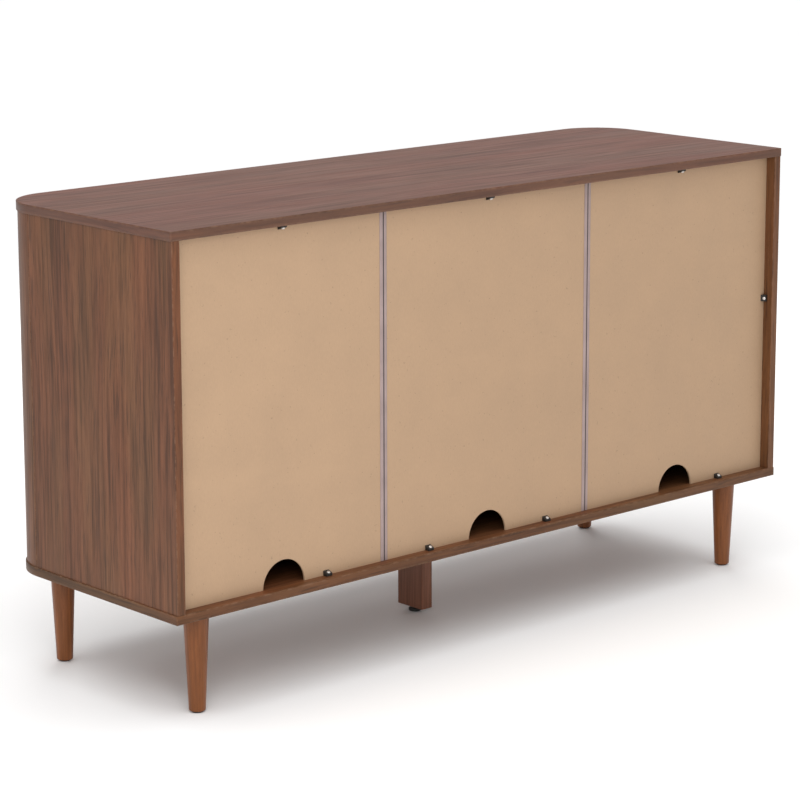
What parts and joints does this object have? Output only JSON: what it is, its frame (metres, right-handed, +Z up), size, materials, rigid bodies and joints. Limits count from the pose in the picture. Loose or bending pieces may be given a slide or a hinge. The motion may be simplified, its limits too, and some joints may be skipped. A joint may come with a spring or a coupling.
{
  "type": "sideboard buffet",
  "caption": "Walnut-finish sideboard buffet on tapered round legs, with rounded front corners, hinged doors, shelves and fibreboard back panels with half-round cable cut-outs.",
  "frame": {"origin": "on the floor, in the middle of the object's box", "axes": "+Z up, +X to the right seen from the front, the doors face -Y and the open-edged back faces +Y"},
  "size_m": [1.4, 0.487, 0.78],
  "materials": {
    "walnut_boards": "satin walnut-grain foil over board, brown with darker streaks",
    "walnut_doors": "satin walnut-grain foil over board, grain upright",
    "fibreboard": "smooth light-brown fibreboard, matt",
    "strip_plastic": "grey extruded plastic strip",
    "black_plastic": "black moulded plastic",
    "leg_wood": "reddish-brown stained solid wood, satin lacquer",
    "dark_wood": "dark walnut-stained board",
    "beech": "plain beech",
    "zinc_steel": "bright zinc-plated steel",
    "satin_brass": "satin brass",
    "white_nylon": "white nylon",
    "bumper_rubber": "soft clear-grey bumper",
    "magnet_ferrite": "dark ferrite magnet"
  },
  "bodies": {
    "case": {"top_panel": "walnut_boards", "bottom_panel": "walnut_boards", "left_side_panel": "walnut_boards", "right_side_panel": "walnut_boards", "left_corner_post": "walnut_boards", "right_corner_post": "walnut_boards", "left_partition": "walnut_boards", "right_partition": "walnut_boards", "left_back_panel": "fibreboard", "middle_back_panel": "fibreboard", "right_back_panel": "fibreboard", "left_joint_strip": "strip_plastic", "right_joint_strip": "strip_plastic", "back_clips": "black_plastic", "clip_screws": "zinc_steel", "cam_locks": "zinc_steel", "cam_bolts": "zinc_steel", "dowels": "beech", "pivot_bushes": "white_nylon", "catch_housings": "white_nylon", "catch_magnets": "magnet_ferrite", "catch_screws": "zinc_steel", "left_shelf": "walnut_boards", "middle_shelf": "walnut_boards", "right_shelf": "walnut_boards", "shelf_pins": "zinc_steel", "front_left_leg": "leg_wood", "front_right_leg": "leg_wood", "back_left_leg": "leg_wood", "back_right_leg": "leg_wood", "leg_hanger_bolts": "zinc_steel", "leg_insert_nuts": "zinc_steel", "leg_glides": "black_plastic", "center_leg": "dark_wood", "center_leg_screws": "zinc_steel", "center_glide_nut": "zinc_steel"},
    "left_door": {"left_door": "walnut_doors", "left_door_pivot_pins": "zinc_steel", "left_door_knob": "satin_brass", "left_door_knob_screw": "zinc_steel", "left_door_strike_plate": "zinc_steel", "left_door_bumpers": "bumper_rubber"},
    "middle_door": {"middle_door": "walnut_doors", "middle_door_pivot_pins": "zinc_steel", "middle_door_knob": "satin_brass", "middle_door_knob_screw": "zinc_steel", "middle_door_strike_plate": "zinc_steel", "middle_door_bumpers": "bumper_rubber"},
    "right_door": {"right_door": "walnut_doors", "right_door_pivot_pins": "zinc_steel", "right_door_knob": "satin_brass", "right_door_knob_screw": "zinc_steel", "right_door_strike_plate": "zinc_steel", "right_door_bumpers": "bumper_rubber"},
    "center_glide": {"center_glide": "black_plastic"}
  },
  "joints": [
    {"name": "left_door_hinge", "type": "hinge", "parent": "case", "child": "left_door", "pos_m": [-0.598, -0.2115, 0.474], "axis": [0, 0, -1], "range_deg": [0, 95]},
    {"name": "middle_door_hinge", "type": "hinge", "parent": "case", "child": "middle_door", "pos_m": [0.1865, -0.2115, 0.474], "axis": [0, 0, 1], "range_deg": [0, 92]},
    {"name": "right_door_hinge", "type": "hinge", "parent": "case", "child": "right_door", "pos_m": [0.598, -0.2115, 0.474], "axis": [0, 0, 1], "range_deg": [0, 95]},
    {"name": "center_glide_travel", "type": "slide", "parent": "case", "child": "center_glide", "axis": [0, 0, 1], "range_m": [-0.0006, 0.004]}
  ]
}
